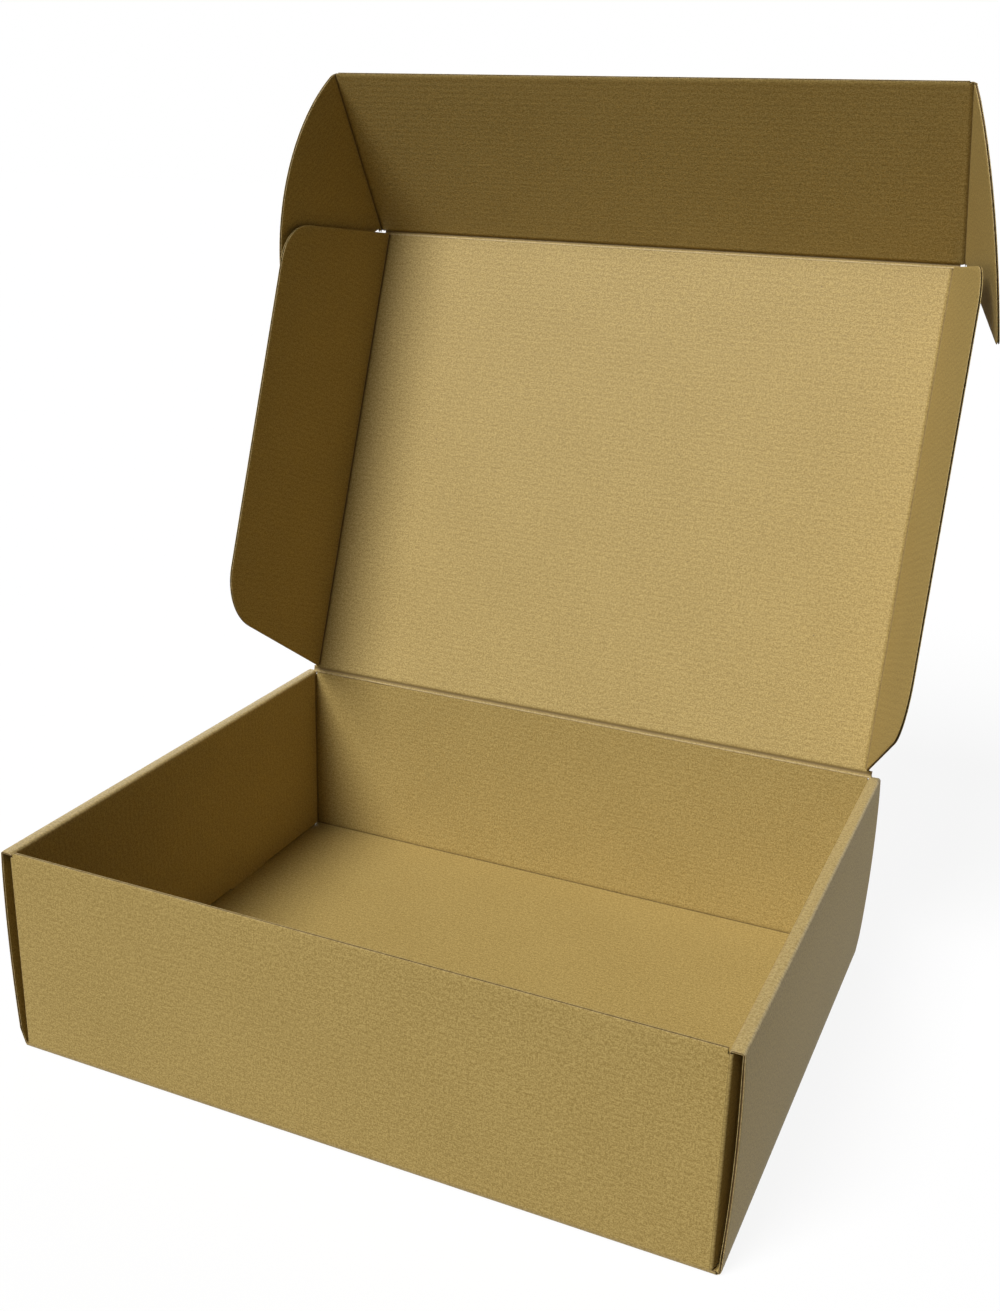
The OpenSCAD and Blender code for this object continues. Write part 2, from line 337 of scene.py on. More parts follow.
def slab(top, under):
    """Points and quads of the closed thin sheet between two grids of equal size."""
    rows, columns = top.shape[:2]
    upper = np.arange(rows * columns).reshape(rows, columns)
    lower = upper + rows * columns

    def quads(a, b, c, d):
        return np.stack([a, b, c, d], -1).reshape(-1, 4)

    faces = [quads(upper[:-1, :-1], upper[:-1, 1:], upper[1:, 1:], upper[1:, :-1]),
             quads(lower[:-1, :-1], lower[1:, :-1], lower[1:, 1:], lower[:-1, 1:]),
             quads(lower[0, :-1], lower[0, 1:], upper[0, 1:], upper[0, :-1]),
             quads(upper[-1, :-1], upper[-1, 1:], lower[-1, 1:], lower[-1, :-1]),
             quads(upper[:-1, 0], upper[1:, 0], lower[1:, 0], lower[:-1, 0]),
             quads(lower[:-1, -1], lower[1:, -1], upper[1:, -1], upper[:-1, -1])]
    return np.concatenate([top.reshape(-1, 3), under.reshape(-1, 3)]), np.concatenate(faces)


def drawn_back(mid, distance):
    """A grid whose first and last columns step inwards by a distance along their rows."""
    shorter = mid.copy()
    for end, inner in ((0, 1), (-1, -2)):
        step = mid[:, inner] - mid[:, end]
        run = np.linalg.norm(step, axis=-1, keepdims=True)
        shorter[:, end] += step * np.minimum(distance / np.maximum(run, 1e-9), 0.5)
    return shorter


def board_layers(piece, make):
    """The three sheets of a board, as (points, quads, finish, place in the flat sheet, mark of a fold).

    The medium waves as the cosine of the distance across the flutes. Each liner lies on the wave's crests on
    its side and sinks a little between them, by the same cosine. A fold's mark is above 0 in its hollow and
    below 0 on its rubbed outer side.
    """
    crest = np.cos(2 * np.pi * piece.sheet[..., 1] / make.flute_pitch)
    upper = piece.half - make.washboard * (1 - crest) / 2
    lower = -piece.half + make.washboard * (1 + crest) / 2
    columns = crest.shape[1]
    picked = np.unique(np.linspace(0, columns - 1, max(3, columns // piece.skip)).astype(int))
    room = np.maximum(piece.half - make.liner - make.medium / 2, 0.0)
    wave = (room * crest)[:, picked]

    def level(offset):
        return piece.mid + offset[..., None] * piece.normal

    core = drawn_back(piece.mid[:, picked], MEDIUM_RECESS)
    normal = piece.normal[:, picked]
    hollow, ridge, plain = piece.fold, -RUB * piece.fold, 0 * piece.fold
    above, below = {1: (hollow, ridge), -1: (ridge, hollow), 0: (plain, plain)}[piece.hollow]
    sheets = [(level(upper), level(upper - make.liner), LINER, piece.sheet, above),
              (level(lower + make.liner), level(lower), LINER, piece.sheet, below),
              (core + (wave + make.medium / 2)[..., None] * normal,
               core + (wave - make.medium / 2)[..., None] * normal, FLUTE, piece.sheet[:, picked], 0 * wave)]
    return [(*slab(top, under), finish, np.tile(sheet.reshape(-1, 3), (2, 1)), np.tile(fold.ravel(), 2))
            for top, under, finish, sheet, fold in sheets]


def build_piece(name, boards, m):
    """Joins boards into one mesh object with both finishes and the attributes 'sheet' and 'fold'."""
    layers = [layer for piece in boards for layer in board_layers(piece, m.make)]
    points, quads, finishes, sheets, folds = zip(*layers)
    starts = np.cumsum([0] + [len(part) for part in points[:-1]])
    faces = np.concatenate([part + start for part, start in zip(quads, starts)])
    finish = np.concatenate([np.full(len(part), kind) for part, kind in zip(quads, finishes)])
    mesh = bpy.data.meshes.new(name)
    mesh.vertices.add(sum(map(len, points)))
    mesh.vertices.foreach_set("co", np.concatenate(points).astype(np.float32).ravel())
    mesh.loops.add(faces.size)
    mesh.loops.foreach_set("vertex_index", faces.astype(np.int32).ravel())
    mesh.polygons.add(len(faces))
    mesh.polygons.foreach_set("loop_start", np.arange(0, faces.size, 4, dtype=np.int32))
    mesh.polygons.foreach_set("material_index", finish.astype(np.int32))
    mesh.update(calc_edges=True)
    sheet = mesh.attributes.new("sheet", "FLOAT_VECTOR", "POINT")
    sheet.data.foreach_set("vector", np.concatenate(sheets).astype(np.float32).ravel())
    fold = mesh.attributes.new("fold", "FLOAT", "POINT")
    fold.data.foreach_set("value", np.concatenate(folds).astype(np.float32))
    mesh.shade_smooth()
    mesh.set_sharp_from_angle(angle=SHARP_ANGLE)
    if mesh.validate():
        raise RuntimeError(f"the mesh of {name} had faults")
    mesh.materials.append(kraft_liner())
    mesh.materials.append(flute_medium())
    piece = bpy.data.objects.new(name, mesh)
    bpy.context.scene.collection.objects.link(piece)
    return piece


def panel_grid(low, high, rows, columns):
    """u and v of a panel: each row runs from its low to its high end, at the given fractions."""
    low, high = np.broadcast_to(low, rows.shape), np.broadcast_to(high, rows.shape)
    u = low[:, None] + (high - low)[:, None] * columns
    return u, np.broadcast_to(rows[:, None], u.shape)


def warp_over(u, v, depth, phase):
    """A slow warp that dies out at the panel's rim: one long bow and a smaller two-way wave."""
    s = (u - u.min()) / np.ptp(u)
    t = (v - v.min()) / np.ptp(v)
    rim = np.sin(np.pi * np.clip(s, 0, 1)) * np.sin(np.pi * np.clip(t, 0, 1))
    return depth * rim * (0.7 + 0.3 * np.sin(2 * np.pi * (s * 1.3 + t * 0.9) + phase))


def arc(centre, start, end, radius, count):
    """Points of a circle's arc in a plane, from one angle (degrees) to another."""
    turn = np.radians(np.linspace(start, end, count))
    return np.stack([centre[0] + radius * np.cos(turn), centre[1] + radius * np.sin(turn)], 1)


def bell(distance, width):
    """1 at distance 0, falling off on both sides as a bell curve of the given width."""
    return np.exp(-(distance / width) ** 2)


def run_length(path):
    """Length from the start of a path of points to each of them."""
    return np.concatenate([[0], np.cumsum(np.linalg.norm(np.diff(path, axis=0), axis=1))])


def rounded_reach(v, root, run, width, radius):
    """Width of a flap at each v: from its root it widens along a slant of the given run, then turns into its
    full width over an arc that touches the slant and the outer edge."""
    slope = run / (width - root[0])
    tilt = math.atan(slope)
    centre_u = width - radius
    centre_v = root[1] + (centre_u - root[0]) * slope + radius / math.cos(tilt)
    slant = root[0] + (v - root[1]) / slope
    turned = centre_u + np.sqrt(np.maximum(radius ** 2 - (v - centre_v) ** 2, 0))
    return np.select([v < centre_v - radius * math.cos(tilt), v < centre_v], [slant, turned], width)


def ear_reach(m, v):
    """Width of a lock ear at each v: a straight slant from its root, a small arc at its tip, then a large arc
    back to the front flap's free corner."""
    size = m.size
    root = np.array([m.half + m.make.fold_gap, size.ear_root])
    centre = np.array([0.0, size.front_drop - size.ear_round])
    along = np.array([math.cos(size.ear_slant), math.sin(size.ear_slant)])
    inward = np.array([-along[1], along[0]])
    rail = root + inward * size.ear_tip - centre
    inner = size.ear_round - size.ear_tip
    to_tip = -rail @ along + math.sqrt((rail @ along) ** 2 - rail @ rail + inner ** 2)
    tip = centre + rail + along * to_tip
    slant = root[0] + (v - root[1]) / math.tan(size.ear_slant)
    turned = tip[0] + np.sqrt(np.maximum(size.ear_tip ** 2 - (v - tip[1]) ** 2, 0))
    swept = np.sqrt(np.maximum(size.ear_round ** 2 - (v - centre[1]) ** 2, 0))
    slant_end = tip[1] - size.ear_tip * along[0]
    tip_end = centre[1] + (tip - centre)[1] * size.ear_round / inner
    return np.select([v < slant_end, v < tip_end], [slant, turned], swept)


def floor_boards(m):
    """Floor panel, with a notch in its rows at each locking tab and a strip outside each notch."""
    edge = m.half_w - m.fold_out - m.make.side_tuck
    slot_in, slot_out = m.wall_in - TAB_ROOM, m.wall_in + m.make.board + TAB_ROOM
    back = m.half_d - m.fold_out
    rows = flute_rows(-back, back, m.pitch, FLOOR_ROWS)
    tab_half = m.size.tab / 2 + TAB_ROOM
    at_tab = np.abs(np.abs(rows) - m.tab_at) < tab_half
    end = np.where(at_tab, slot_in, edge)
    place = (0.0, -m.hinge[2] - m.half_d)
    origin = np.array([0, 0, m.half])
    u, v = panel_grid(-end, end, rows, fractions(PANEL_COLUMNS, 2 * edge))
    boards = [flat_board(m, origin, X, Y, u, v, place)]
    for side in (-1, 1):
        for middle in (-m.tab_at, m.tab_at):
            strip = flute_rows(middle - tab_half, middle + tab_half, m.pitch, TAB_ROWS)
            low, high = sorted((side * slot_out, side * edge))
            u, v = panel_grid(low, high, strip, np.linspace(0, 1, 3))
            boards.append(flat_board(m, origin, X, Y, u, v, place))
    return boards


def buckle(m, x, z):
    """Soft upright folds near the left end of the back wall: a cosine along the wall under a bell curve, both
    measured in millimetres, fading downwards by a power of the height."""
    crest, wave = -138, 7.5
    middle, spread = -136, 19
    depth, fade = 0.9 * MM, 1.5
    ripple = np.cos((x / MM - crest) / wave) * bell(x / MM - middle, spread)
    return depth * ripple * np.clip(z / m.size.height, 0, 1) ** fade


def end_wall(m, way, top):
    """Front wall (way -1) or back wall (way 1): a profile from the floor, round its fold and up, carried
    along X. The profile is longest at its foot and shortest beside the rims."""
    centre = (m.half_d - m.fold_out, m.fold_out)
    turned = arc(centre, -90, 0, m.bend, WALL_TURN)
    z = flute_rows(m.fold_out, top, m.pitch)[1:]
    start = np.array([[centre[0] - FOOT_LEAD, m.half]])
    path = np.concatenate([start, turned, np.stack([np.full_like(z, centre[0] + m.bend), z], 1)])
    length = run_length(path)
    rise = path[:, 1]
    fold_x = m.flap_face - m.size.corner_round
    end = np.select([rise < m.flap_low, rise < m.flap_top],
                    [fold_x + FOOT_REACH, fold_x], m.wall_in - RIM_GAP)
    columns = np.union1d(fractions(WALL_COLUMNS, 2 * m.wall_in), np.linspace(0, BUCKLE_SPAN, BUCKLE_COLUMNS))
    u, v = panel_grid(-end, end, length, columns)
    y = np.broadcast_to(way * path[:, :1], u.shape)
    z = np.broadcast_to(path[:, 1:], u.shape)
    bow = warp_over(u, v, m.make.warp, way) * (z > m.fold_out)
    bow = bow + buckle(m, u, z) * (way > 0)
    mid = np.stack([u, y - bow, z], -1)
    # The mark of the floor fold thins the board and paints pressed kraft and shade in its hollow.
    mark = bell(length - length[1 + WALL_TURN // 2], WALL_SHADE_MARK)[:, None] * np.ones_like(u)
    if way > 0:
        flat_v = -m.hinge[2] - length[-1] + v + (m.hinge[2] - top)
    else:
        flat_v = -m.hinge[2] - m.size.depth - v
    return board(m, mid, u, flat_v, (False, False, False, way < 0),
                 crushed=WALL_CRUSH * mark, hollow=way, skip=1)


def corner_flap(m, side, way):
    """Flap at one end of an end wall: a path carried up along Z. It turns tightly round the corner, slants
    out to the flap's plane and runs along the side wall. It is marked at its fold at the back, and along its
    root at the front."""
    radius, splay = m.size.corner_fold, m.size.corner_splay
    centre = (m.flap_face - m.size.corner_round, m.half_d - m.half - radius)
    turned = arc(centre, 90, math.degrees(splay), radius, CORNER_TURN)
    plane = m.flap_face - m.half
    slant_end = turned[-1, 1] - (plane - turned[-1, 0]) / math.tan(splay)
    y = np.linspace(slant_end, m.half_d - m.size.corner_flap, FLAP_COLUMNS)
    path = np.concatenate([turned, np.stack([np.full_like(y, plane), y], 1)])
    z = flute_rows(m.flap_low, m.flap_top, m.pitch, CORNER_ROWS)
    length = run_length(path)
    u, v = np.meshgrid(length, z)
    x, y = np.broadcast_to(side * path[:, 0], u.shape), np.broadcast_to(way * path[:, 1], u.shape)
    mid = np.stack([x, y, v], -1)
    # Painted shade: the back mark darkens the corner's line, the front mark darkens the slot at the root.
    place, width = (0, WALL_SHADE_MARK) if way > 0 else (ROOT_PLACE, ROOT_SHADE_MARK)
    mark = bell(u - length[CORNER_TURN // 2] - place, width)
    return board(m, mid, side * (centre[0] + u), v - (way < 0) * m.size.depth, FLAP_CUT,
                 crushed=WALL_CRUSH * mark, hollow=side)


def side_wall_path(m):
    """Profile of a rolled side wall in X and Z, up from the floor, over the rim and down inside, the half
    length in Y at each of its points, and the points that mark its folds."""
    make, top = m.make, m.size.height - m.fold_out
    low_x = m.half_w - m.fold_out - make.side_tuck
    high_x = m.half_w - m.fold_out - make.rim_tuck
    up = np.linspace(0, 1, SIDE_CLIMB + 2)[1:-1]
    z = m.fold_out + up * (m.size.height - 2 * m.fold_out)
    drawn = make.side_tuck * (1 - up) ** 2 + make.rim_tuck * up ** 2 - make.side_bulge * 4 * up * (1 - up)
    down = np.concatenate([[0, 0.02], np.linspace(0.08, 1, 8)])
    inner_z = top - down * (top - make.board - FOOT_GAP)
    inner = np.stack([np.full_like(inner_z, m.wall_in + m.half), inner_z], 1)
    short, full = m.half_d - m.fold_out, m.half_d
    stretches = [(np.array([[low_x - FOOT_LEAD, m.half]]), short),
                 (arc((low_x, m.fold_out), -90, 0, m.bend, SIDE_TURN), short),
                 (np.stack([m.half_w - m.half - drawn, z], 1), full),
                 (arc((high_x, top), 0, 90, m.bend, SIDE_TURN), full),
                 (arc((m.wall_in + m.fold_out, top), 90, 180, m.bend, SIDE_TURN)[:-1], full),
                 (inner[:1], full - RIM_STEP),
                 (inner[1:], m.half_d - make.board - END_GAP)]
    path = np.concatenate([points for points, _ in stretches])
    ends = np.concatenate([np.full(len(points), end) for points, end in stretches])
    foot, rim = 1 + SIDE_TURN // 2, 1 + SIDE_TURN + SIDE_CLIMB + SIDE_TURN // 2
    return path, ends, (foot, rim, rim + SIDE_TURN - 1)


def side_wall(m, side):
    """Rolled side wall: its profile carried along Y, with locking tabs at its inner foot."""
    path, ends, folds = side_wall_path(m)
    length = run_length(path)
    rows = flute_rows(-1, 1, m.pitch / m.half_d, SIDE_ROWS, close=(2.0, 5.0))
    x = side * np.broadcast_to(path[:, 0], (len(rows), len(path)))
    z = np.broadcast_to(path[:, 1], x.shape)
    y = rows[:, None] * ends
    u = side * (m.half_w + np.broadcast_to(length, x.shape))
    # The marks of the foot and rim folds thin the board and paint pressed kraft and shade in their hollows.
    marks = sum(bell(length - length[point], SIDE_SHADE_MARK) for point in folds)
    crushed = SIDE_CRUSH * np.clip(marks, 0, 1) * np.ones_like(u)
    flat_v = y - m.hinge[2] - m.half_d
    boards = [board(m, np.stack([x, y, z], -1), u, flat_v, FLAP_CUT, crushed=crushed, hollow=side)]
    for middle in (-m.tab_at, m.tab_at):
        strip = flute_rows(middle - m.size.tab / 2, middle + m.size.tab / 2, m.pitch, TAB_ROWS)
        drop, along = np.meshgrid(np.linspace(TAB_LIFT, m.make.board + FOOT_GAP, 4), strip)
        mid = np.stack([np.full_like(drop, side * (m.wall_in + m.half)), along, drop], -1)
        boards.append(board(m, mid, u[:1, -1:] + side * (m.make.board - drop), along - m.hinge[2] - m.half_d,
                            (True, False, True, True)))
    return boards


def lid_board(m):
    """Lid panel between its four folds."""
    end = m.dust_x - m.reach
    rows = flute_rows(m.reach, m.lid_len - m.reach, m.pitch)
    u, v = panel_grid(-end, end, rows, fractions(PANEL_COLUMNS, 2 * end))
    return flat_board(m, m.hinge, X, m.lid_way, u, v, (0, 0), lift=-warp_over(u, v, m.make.warp, LID_PHASE))


def dust_flap_board(m, side, fold):
    """Dust flap: each row runs from the fold to the flap's outline."""
    size = m.size
    root = (m.half + m.make.fold_gap, size.dust_root)
    rows = flute_rows(size.dust_root, m.lid_len - size.dust_root, m.pitch)
    rear = rounded_reach(rows, root, size.dust_slant, size.dust_width, size.dust_rear_round)
    front = rounded_reach(m.lid_len - rows, root, size.dust_slant, size.dust_width, size.dust_front_round)
    end = np.maximum(np.minimum(rear, front), m.reach + LEAST_ROW)
    u, v = panel_grid(m.reach, end, rows, fractions(FLAP_COLUMNS, size.dust_width))
    along = side * math.cos(fold) * X + math.sin(fold) * m.lid_in
    return flat_board(m, m.hinge + side * m.dust_x * X, along, m.lid_way, u, v, (m.dust_x, 0), FLAP_CUT,
                      lift=warp_over(u, v, FLAP_WARP * m.make.warp, side))


def front_flap_board(m):
    """Front flap from its fold to its free edge, between the folds of the ears."""
    end = m.ear_x - m.reach
    rows = flute_rows(m.reach, m.size.front_drop, m.pitch)
    u, v = panel_grid(-end, end, rows, fractions(PANEL_COLUMNS, 2 * end))
    return flat_board(m, m.crease, X, m.front_way, u, v, (0, m.lid_len), (False, False, False, True),
                      lift=-warp_over(u, v, FLAP_WARP * m.make.warp, FRONT_PHASE))


def ear_board(m, side, fold):
    """Lock ear: each row runs from its fold to its outline."""
    low = m.size.ear_root + (m.reach - m.half) * math.tan(m.size.ear_slant) + LEAST_ROW
    high = m.size.front_drop - EAR_END
    rows = flute_rows(low, high, m.pitch, close=(0.1, 0.3, 0.6, 1.0))
    end = np.maximum(ear_reach(m, rows), m.reach + LEAST_ROW)
    u, v = panel_grid(m.reach, end, rows, fractions(FLAP_COLUMNS, m.size.ear_round))
    along = side * math.cos(fold) * X + math.sin(fold) * m.front_in
    origin = m.crease + side * m.ear_x * X
    return flat_board(m, origin, along, m.front_way, u, v, (m.ear_x, m.lid_len), FLAP_CUT)


def working_folds(m):
    """The six folds that move. Each turns its child body by the angle fold about an axis through an origin,
    from the way onward towards the way inward. Where flutes run along it, ends gives its strip's half length
    at each distance from the axis, and otherwise the strip's low and high end. place is that in the sheet."""
    narrow, wide = m.dust_x - STRIP_ROOM, m.ear_x - m.reach
    filled = narrow + m.make.corner_fill
    dust_ends = (m.size.dust_root, m.lid_len - m.size.dust_root)
    ear_ends = (m.size.ear_root - EAR_LEAD, m.size.front_drop - EAR_TRIM)

    def hinge_end(s):
        return np.where(s < m.size.dust_root - STRIP_GAP, filled, narrow)

    def front_end(s):
        return np.select([s < STRIP_GAP - m.size.dust_root, s < m.make.fold_gap], [narrow, filled], wide)

    folds = [Fold("lid_crease", "tray", "lid", m.hinge, X, Z, -Y, m.lid_fold, hinge_end, True, (0, 0)),
             Fold("front_crease", "lid", "front_flap", m.crease, X, m.lid_way, m.lid_in, m.front_fold,
                  front_end, True, (0, m.lid_len))]
    for name, side in (("left", -1), ("right", 1)):
        dust, ear = getattr(m.fold, f"{name}_dust"), getattr(m.fold, f"{name}_ear")
        folds += [
            Fold(f"{name}_dust_crease", "lid", f"{name}_dust_flap", m.hinge + side * m.dust_x * X, m.lid_way,
                 side * X, m.lid_in, dust, dust_ends, False, (m.dust_x, 0)),
            Fold(f"{name}_ear_crease", "front_flap", f"{name}_ear", m.crease + side * m.ear_x * X,
                 m.front_way, side * X, m.front_in, ear, ear_ends, False, (m.ear_x, m.lid_len))]
    return folds


def crease_board(m, f):
    """Crushed strip over a working fold.

    A point at signed distance s across the strip turns about the fold's axis by the smoothstep of s times the
    fold, so the strip leaves both panels flat and bends round its middle, where the board is pressed thin.
    Where flutes run along the fold, a bead stands beside the groove.
    """
    across = np.linspace(-m.reach, m.reach, CREASE_ROWS)
    if f.along:
        t, s = panel_grid(-f.ends(across), f.ends(across), across, fractions(PANEL_COLUMNS, 2 * m.half_w))
        u, v = t + f.place[0], s + f.place[1]
    else:
        s, t = np.meshgrid(across, flute_rows(*f.ends, m.pitch))
        u, v = s + f.place[0], t + f.place[1]
    part = (s / m.reach + 1) / 2
    turn = (part * part * (3 - 2 * part) * f.fold)[..., None]
    onward = np.cos(turn) * f.onward + np.sin(turn) * f.inward
    inward = np.cos(turn) * f.inward - np.sin(turn) * f.onward
    mid = f.origin + t[..., None] * f.axis + s[..., None] * onward
    # The pressed share is also the strip's fold mark: painted shade in the groove, and a painted highlight on
    # the bead where it is below 0.
    pressed = m.make.crush * bell(s, m.make.crease_groove * (ALONG_GROOVE if f.along else 1.0))
    if f.along:
        pressed = pressed - m.make.bead * bell(s + m.make.bead_place, BEAD_WIDTH)
    sideways = np.cross(f.axis, f.onward) if f.along else np.cross(f.onward, f.axis)
    facing = np.sign(sideways @ f.inward)
    return board(m, mid, u, v, normal=facing * inward, crushed=pressed, hollow=facing)


def blend_span(m, f):
    """Two points between which a strip turns from one body to the other, so that its ends stay on theirs."""
    middle = unit(f.onward + math.cos(f.fold) * f.onward + math.sin(f.fold) * f.inward)
    reach = m.reach * math.cos(f.fold / 2) - m.half * abs(math.sin(f.fold / 2))
    return f.origin - reach * middle, f.origin + reach * middle


class Wire:
    """A value socket in a node tree, so that shader maths reads as a Python expression."""

    def __init__(self, tree, socket):
        self.tree, self.socket = tree, socket

    def maths(self, operation, left, right=0.0):
        return self.tree.node("ShaderNodeMath", {"operation": operation}, {0: left, 1: right})

    def __add__(self, other):
        return self.maths("ADD", self, other)

    def __sub__(self, other):
        return self.maths("SUBTRACT", self, other)

    def __rsub__(self, other):
        return self.maths("SUBTRACT", other, self)

    def __mul__(self, other):
        return self.maths("MULTIPLY", self, other)

    __radd__, __rmul__ = __add__, __mul__


class Tree:
    """A material's or world's node tree, emptied and then built node by node."""

    def __init__(self, owner):
        owner.use_nodes = True
        self.nodes, self.links = owner.node_tree.nodes, owner.node_tree.links
        self.nodes.clear()

    def node(self, kind, settings=None, sockets=None, output=0):
        """Adds a node: its settings, then the value or the link of each socket. Gives one output's wire."""
        made = self.nodes.new(kind)
        for name, value in (settings or {}).items():
            setattr(made, name, value)
        for name, value in (sockets or {}).items():
            if isinstance(value, Wire):
                self.links.new(value.socket, made.inputs[name])
            else:
                made.inputs[name].default_value = value
        return Wire(self, made.outputs[output]) if made.outputs else None

    def noise(self, place, scale, detail):
        """Noise between about 0 and 1, taken as its distance from the middle value."""
        sockets = {"Vector": place, "Scale": scale, "Detail": detail}
        return self.node("ShaderNodeTexNoise", None, sockets) - 0.5

    def mix(self, factor, first, second):
        """A colour between two others."""
        return self.node("ShaderNodeMix", {"data_type": "RGBA"}, {0: factor, 6: first, 7: second}, 2)

    def limited(self, value, gain=1.0, offset=0.0):
        """A value times a gain plus an offset, held between 0 and 1."""
        return self.node("ShaderNodeMath", {"operation": "MULTIPLY_ADD", "use_clamp": True},
                         {0: value, 1: gain, 2: offset})

    def sheet_place(self):
        """Wires of the distance along the flutes, across them, and from the nearest cut edge."""
        place = self.node("ShaderNodeAttribute", {"attribute_name": "sheet"}, None, "Vector")
        return [self.node("ShaderNodeSeparateXYZ", None, {0: place}, axis) for axis in range(3)]

    def vector(self, x, y, z=0.0):
        """A vector of three values."""
        return self.node("ShaderNodeCombineXYZ", None, {0: x, 1: y, 2: z})


def opaque(value):
    """A colour property with full opacity."""
    return (*value, 1.0)


def kraft_liner():
    """Kraft paper of the liners: cloudy and mottled colour, fibres along the flutes, bark specks, faint lines
    between flutes, dark crushed folds, paler worn fibre on cut edges and rubbed folds, and a soft sheen."""
    name = "kraft_liner"
    if name in bpy.data.materials:
        return bpy.data.materials[name]
    look, make = bpy.context.scene.kraft_colours, bpy.context.scene.board_make
    material = bpy.data.materials.new(name)
    tree = Tree(material)
    along, across, gap = tree.sheet_place()
    flat = tree.vector(along, across)
    cloud = tree.noise(flat, CLOUD_SCALE, 3.0)
    mottle = tree.noise(flat, MOTTLE_SCALE, 2.0)
    grain = tree.noise(flat, GRAIN_SCALE, 1.0)
    fibre = tree.noise(tree.vector(along * FIBRE_STRETCH, across), FIBRE_SCALE, 2.0)
    # Painted shade: a faint cosine across the flutes darkens the paper where the liner sinks between them.
    flutes = across * (2 * math.pi / make.flute_pitch)
    washboard_shade = tree.node("ShaderNodeMath", {"operation": "COSINE"}, {0: flutes})
    shade = 0.5 + cloud * CLOUD + mottle * MOTTLE + grain * GRAIN + fibre * FIBRE + washboard_shade * WASHBOARD_SHADE
    paper = tree.mix(tree.limited(shade), opaque(look.dark), opaque(look.pale))
    bark = tree.limited(tree.noise(flat, BARK_SCALE, 1.0), 14.0, -3.9)
    specked = tree.mix(bark * 0.75, paper, opaque(look.speck))
    # Painted shade: the fold mark turns the paper towards the pressed colour in a fold's hollow, standing for
    # crushed kraft and the shade that falls there.
    fold = tree.node("ShaderNodeAttribute", {"attribute_name": "fold"}, None, "Fac")
    crushed_and_shaded = tree.mix(tree.limited(fold, 1.7), specked, opaque(look.pressed))
    # Paler worn paper along cut edges and on the rubbed outer side of folds is wear; on the bead beside a
    # fold, where the mark is below 0, the same paler paper is a painted highlight.
    rubbed = tree.limited(gap, -1 / WORN_REACH, 1.0) * 0.3 + tree.limited(fold, -4.0)
    wear_and_highlight = tree.limited(rubbed) * tree.limited(mottle, 1.6, 0.62)
    worn = tree.mix(wear_and_highlight * 0.75, crushed_and_shaded, opaque(look.worn))
    relief = fibre * 0.6 + mottle * 0.3 + grain * 0.5
    bump = tree.node("ShaderNodeBump", None, {"Strength": 0.3, "Distance": BUMP_DEPTH, "Height": relief})
    paper_shader = tree.node("ShaderNodeBsdfPrincipled", None, {
        "Base Color": worn, "Roughness": 0.62 + fibre * 0.16, "Normal": bump, "Specular IOR Level": 0.36})
    tree.node("ShaderNodeOutputMaterial", None, {"Surface": paper_shader})
    return material


def flute_medium():
    """Darker, rougher paper of the waved medium."""
    name = "flute_medium"
    if name in bpy.data.materials:
        return bpy.data.materials[name]
    look = bpy.context.scene.kraft_colours
    material = bpy.data.materials.new(name)
    tree = Tree(material)
    along, across, _ = tree.sheet_place()
    grain = tree.noise(tree.vector(along, across), MEDIUM_SCALE, 2.0)
    paper = tree.mix(tree.limited(0.4 + grain * 1.2), opaque(look.speck), opaque(look.flute))
    shader = tree.node("ShaderNodeBsdfPrincipled", None, {
        "Base Color": paper, "Roughness": 0.88 + grain * 0.1, "Specular IOR Level": 0.15})
    tree.node("ShaderNodeOutputMaterial", None, {"Surface": shader})
    return material


def seen_directly(tree):
    """1 for what the camera sees itself, in a mirror or through glass, and 0 for light on things."""
    rays = [tree.node("ShaderNodeLightPath", None, None, name)
            for name in ("Is Camera Ray", "Is Glossy Ray", "Is Transmission Ray")]
    return tree.limited(rays[0] + rays[1] + rays[2])


def floor_finish():
    """Pale floor that shows nearly white and keeps the box's shadow."""
    look = bpy.context.scene.studio_look
    material = bpy.data.materials.new("studio_floor")
    tree = Tree(material)
    seen = seen_directly(tree)
    grain = tree.noise(tree.node("ShaderNodeTexCoord", None, None, "Object"), FLOOR_SCALE, 2.0)
    paper = tree.mix(tree.limited(seen * FLOOR_WHITE + grain * 0.02), opaque(look.floor), WHITE)
    matt = tree.node("ShaderNodeBsdfDiffuse", None, {"Color": paper})
    white = tree.node("ShaderNodeEmission", None, {"Color": WHITE, "Strength": 1.0})
    shown = tree.node("ShaderNodeMixShader", None, {0: seen * FLOOR_GLOW, 1: matt, 2: white})
    tree.node("ShaderNodeOutputMaterial", None, {"Surface": shown})
    return material


def studio_world():
    """Even sky light, seen as plain white."""
    look = bpy.context.scene.studio_look
    world = bpy.data.worlds.new("studio_sky")
    tree = Tree(world)
    sky = tree.mix(seen_directly(tree), opaque(look.sky), WHITE)
    shader = tree.node("ShaderNodeBackground", None, {"Color": sky})
    tree.node("ShaderNodeOutputWorld", None, {"Surface": shader})
    return world


class MAILER_OT_floor(bpy.types.Operator):
    """Builds the tray's floor with the slots of its locking tabs"""
    bl_idname = "mailer.floor"
    bl_label = "Floor"

    def execute(self, context):
        m = measures()
        piece = build_piece("tray_floor", floor_boards(m), m)
        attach(piece, "tray")
        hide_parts("tray")
        return {"FINISHED"}


